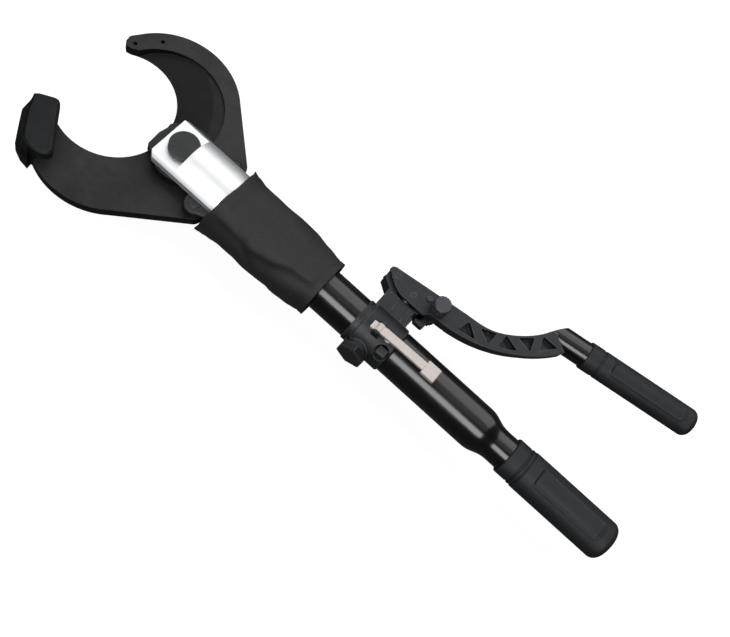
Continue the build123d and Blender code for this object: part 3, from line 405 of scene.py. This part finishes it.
# Shorter slanting folds, as (X, angle, slant, width, height).
FOLDS = [(70, 102, 0.62, 13, 1.5), (113, 74, -0.9, 8, -1.3), (150, 68, 0.45, 10, 1.4),
         (96, -44, -0.55, 12, 1.1), (66, -8, 0.85, 9, 0.8), (140, -18, -0.5, 10, 1.0),
         (120, 160, 0.60, 15, 1.5), (90, -130, -0.55, 14, 1.4), (158, -70, 0.50, 9, 0.9),
         (164, 120, -0.6, 10, 1.0), (80, 165, -0.5, 12, 1.0)]
FOLD_REACH = 40.0
FOLD_TURN = 0.62                # millimetres round the sleeve to a degree
FOLD_DROP = 1.2                 # how far the folds as a whole are let down
WAVE_HEIGHT = 1.3
STITCH_INSET = 6.0


def sleeve_fold(x, angle):
    """Height in millimetres of the soft diagonal folds at a place on the sleeve."""
    off_ridge = angle - through(RIDGE, x)
    ridge_width = RIDGE_WIDTHS[0] if off_ridge > 0 else RIDGE_WIDTHS[1]
    height = RIDGE_HEIGHT * exp(-(off_ridge / ridge_width) ** 2)
    for place, turn, slant, width, size in FOLDS:
        away = (angle - turn + 180) % 360 - 180
        along = x - place
        line = away * FOLD_TURN + along * slant
        height += size * exp(-(along / FOLD_REACH) ** 2) * exp(-(line / width) ** 2)
    waves = noise.noise(Vector((x * 0.035, cos(radians(angle)) * 1.5, sin(radians(angle)) * 1.5)))
    return height - FOLD_DROP + waves * WAVE_HEIGHT


def sleeve_point(share, angle, inset):
    """A point of the sleeve: share runs from its front edge to its rear edge."""
    turn = radians(angle)
    front = through(FRONT_EDGE, angle)
    x = front + (SLEEVE_REAR - front) * share
    lean = 0.5 - 0.5 * sin(radians(angle - 25))
    radius = through(SLEEVE_NEAR, x) * lean + through(SLEEVE_FAR, x) * (1 - lean)
    damp = smooth_step(0.0, 0.16, share) * smooth_step(0.0, 0.12, 1 - share)
    radius += sleeve_fold(x, angle) * (0.25 + 0.75 * damp)
    hem = exp(-((x - front) / 2.0) ** 2) + exp(-((SLEEVE_REAR - x) / 2.0) ** 2)
    stitch = exp(-((x - front - STITCH_INSET) / 0.8) ** 2)
    stitch += exp(-((SLEEVE_REAR - x - STITCH_INSET) / 0.8) ** 2)
    radius += 0.25 * hem - 0.45 * stitch - inset
    radius += 0.5 * exp(-((x - front) / 9.0) ** 2)
    return Vector((x * MM, -sin(turn) * radius * MM, AXIS_Z + cos(turn) * radius * MM))


def make_sleeve():
    """The rubber boot over the yoke: its outer and inner skins, joined at both hems."""
    rings = []
    angles = [-180 + 360 * i / SLEEVE_TURNS for i in range(SLEEVE_TURNS)]
    shares = [i / SLEEVE_LENGTHS for i in range(SLEEVE_LENGTHS + 1)]
    for share in shares:
        rings.append([sleeve_point(share, angle, 0.0) for angle in angles])
    for share in reversed(shares):
        rings.append([sleeve_point(share, angle, SLEEVE_WALL) for angle in angles])
    sleeve = ring_mesh("soft_sleeve", rings)
    sleeve.data.materials.append(finishes["sleeve_rubber"])
    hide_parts("protective_sleeve")
    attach(sleeve, "frame")


make_sleeve()


# ---------------------------------------------------------------- moulded rubber grips
GRIP_TURNS = 160
PANEL_CORNER = 4.0
PIP_PITCH, PIP_HEIGHT = 2.6, 0.35


def make_grip(name, node, body, origin, direction, profile, panel, marks):
    """A moulded grip of (distance, radius) along its axis, with inset panels.

    panel is (from, to, half width, centre angles, depth). marks holds the ends of patches of pips."""
    side = direction.cross(world_z).normalized()
    up = side.cross(direction).normalized()
    panel_from, panel_to, half_width, centres, depth = panel

    def relief(s, angle, radius):
        height = 0.0
        for centre in centres:
            away = ((angle - centre + 180) % 360 - 180) * pi / 180 * radius
            dx = max(panel_from + PANEL_CORNER - s, s - panel_to + PANEL_CORNER, 0.0)
            dy = max(abs(away) - half_width + PANEL_CORNER, 0.0)
            edge = sqrt(dx * dx + dy * dy) - PANEL_CORNER
            height -= depth * smooth_step(0.0, 1.4, -edge)
            height += 0.6 * exp(-((edge - 0.8) / 0.9) ** 2)
            for start, end in marks:
                if start <= s <= end and abs(away) < half_width - 1.2:
                    along = 0.5 + 0.5 * cos(2 * pi * (s - start) / PIP_PITCH)
                    sideways = 0.5 + 0.5 * cos(2 * pi * away / PIP_PITCH)
                    height += PIP_HEIGHT * along * sideways
        return height

    rings = []
    for s, radius, detailed in profile:
        if radius <= 0:
            rings.append([(origin + direction * s) * MM])
            continue
        ring = []
        for i in range(GRIP_TURNS):
            angle = -180 + 360 * i / GRIP_TURNS
            turn = radians(angle)
            extra = relief(s, angle, radius) if detailed else 0.0
            r = radius + extra
            ring.append((origin + direction * s + (side * sin(turn) + up * cos(turn)) * r) * MM)
        rings.append(ring)
    grip = ring_mesh(name, rings)
    grip.data.materials.append(finishes["grip_rubber"])
    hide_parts(node)
    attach(grip, body)


def grip_profile(steps, body_from, body_to, radius, dome, bore, bore_to):
    """(distance, radius, has relief) rings: the turned collar, the body, the domed end and the bore."""
    rows = []
    for (s0, r0), (s1, r1) in zip(steps, steps[1:]):
        count = max(2, int(max(abs(s1 - s0), abs(r1 - r0)) / 0.8) + 1)
        for k in range(count):
            rows.append((s0 + (s1 - s0) * k / count, r0 + (r1 - r0) * k / count, False))
    straight_to = body_to - dome
    count = int((straight_to - body_from) / 0.65)
    for k in range(count + 1):
        s = body_from + (straight_to - body_from) * k / count
        rows.append((s, radius, True))
    for k in range(1, 13):
        turn = radians(90 * k / 12)
        rows.append((straight_to + dome * sin(turn), radius - dome * (1 - cos(turn)), False))
    for share in (0.8, 0.55, 0.3, 0.12, 0.0):
        bulge = 0.5 * (1 - share * share)
        rows.append((body_to + bulge, (radius - dome) * share, False))
    rows.append((bore_to, 0.0, False))
    rows.append((bore_to, bore * 0.6, False))
    rows.append((bore_to, bore, False))
    rows.append((steps[0][0] + 2.0, bore, False))
    rows.append((steps[0][0], bore + 0.2, False))
    return rows


fixed_low, fixed_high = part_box("fixed_grip")
grip_front, grip_end = fixed_low.x / MM, fixed_high.x / MM
fixed_steps = [(grip_front, 17.6), (grip_front, 18.9), (grip_front + 0.5, 19.6), (grip_front + 1.2, 20.0),
               (434.2, 20.0), (434.8, 19.8), (435.0, 19.2), (435.1, 18.6), (436.9, 18.6), (437.0, 20.0),
               (437.3, 20.4), (439.3, 20.4), (439.6, 20.0), (439.7, 19.4), (441.0, 19.4), (441.2, 20.4),
               (441.8, 21.0)]
make_grip("fixed_grip_rubber", "fixed_grip", "frame", Vector((0, 0, AXIS_Z / MM)), world_x,
          grip_profile(fixed_steps, 442.2, grip_end - 0.5, 21.0, 8.5, 17.45, 540.0),
          (453, 532, 9.5, (9, 189), 1.3), ((457, 463), (519, 527)))

SLOPE = radians(9.75)
handle_way = Vector((cos(SLOPE), sin(SLOPE), 0))
handle_steps = [(-33.8, 13.65), (-33.8, 14.5), (-33.3, 15.1), (-32.6, 15.3), (-19.4, 15.3), (-18.8, 15.1),
                (-18.6, 14.4), (-16.5, 14.4), (-16.4, 15.0), (-15.6, 15.3)]
make_grip("handle_grip_rubber", "handle_grip", "pump_handle", Vector((456.4, 147.0, AXIS_Z / MM)), handle_way,
          grip_profile(handle_steps, -15.2, 99.5, 15.3, 7.5, 13.62, 92.0),
          (-6, 82, 7.0, (9, 189), 1.0), ((-3, 2), (72, 78)))


# ---------------------------------------------------------------- floor and backdrop
def plain(name, colour, glow):
    """A plain pale surface that lights itself."""
    g = Graph(name)
    grain = g.ramp(g.noise(3.0, 2.0), (0.3, colour * 0.99), (0.7, colour))
    return g.finish(Base_Color=grain, Roughness=0.9, Specular_IOR_Level=0.0, Emission_Color=(1, 1, 1, 1),
                    Emission_Strength=glow)


STAGE_RADIUS = 14.0


def make_stage():
    """A round floor under the tool and a dome round it, seen by the camera only."""
    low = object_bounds()[0].z
    mesh = bmesh.new()
    bmesh.ops.create_circle(mesh, cap_ends=True, segments=96, radius=STAGE_RADIUS,
                            matrix=Matrix.Translation((target.x, target.y, low - 0.0005)))
    data = bpy.data.meshes.new("floor")
    mesh.to_mesh(data)
    mesh.free()
    floor = bpy.data.objects.new("floor", data)
    dome_mesh = bmesh.new()
    bmesh.ops.create_uvsphere(dome_mesh, u_segments=48, v_segments=24, radius=STAGE_RADIUS,
                              matrix=Matrix.Translation((target.x, target.y, low)))
    dome_data = bpy.data.meshes.new("backdrop")
    dome_mesh.to_mesh(dome_data)
    dome_mesh.free()
    backdrop = bpy.data.objects.new("backdrop", dome_data)
    floor.data.materials.append(plain("floor_white", 0.30, 0.93))
    backdrop.data.materials.append(plain("backdrop_white", 0.0, 1.0))
    for obj in (floor, backdrop):
        bpy.context.scene.collection.objects.link(obj)
        obj.visible_diffuse = False
        obj.visible_glossy = False
        obj.visible_transmission = False
    backdrop.visible_shadow = False


make_stage()
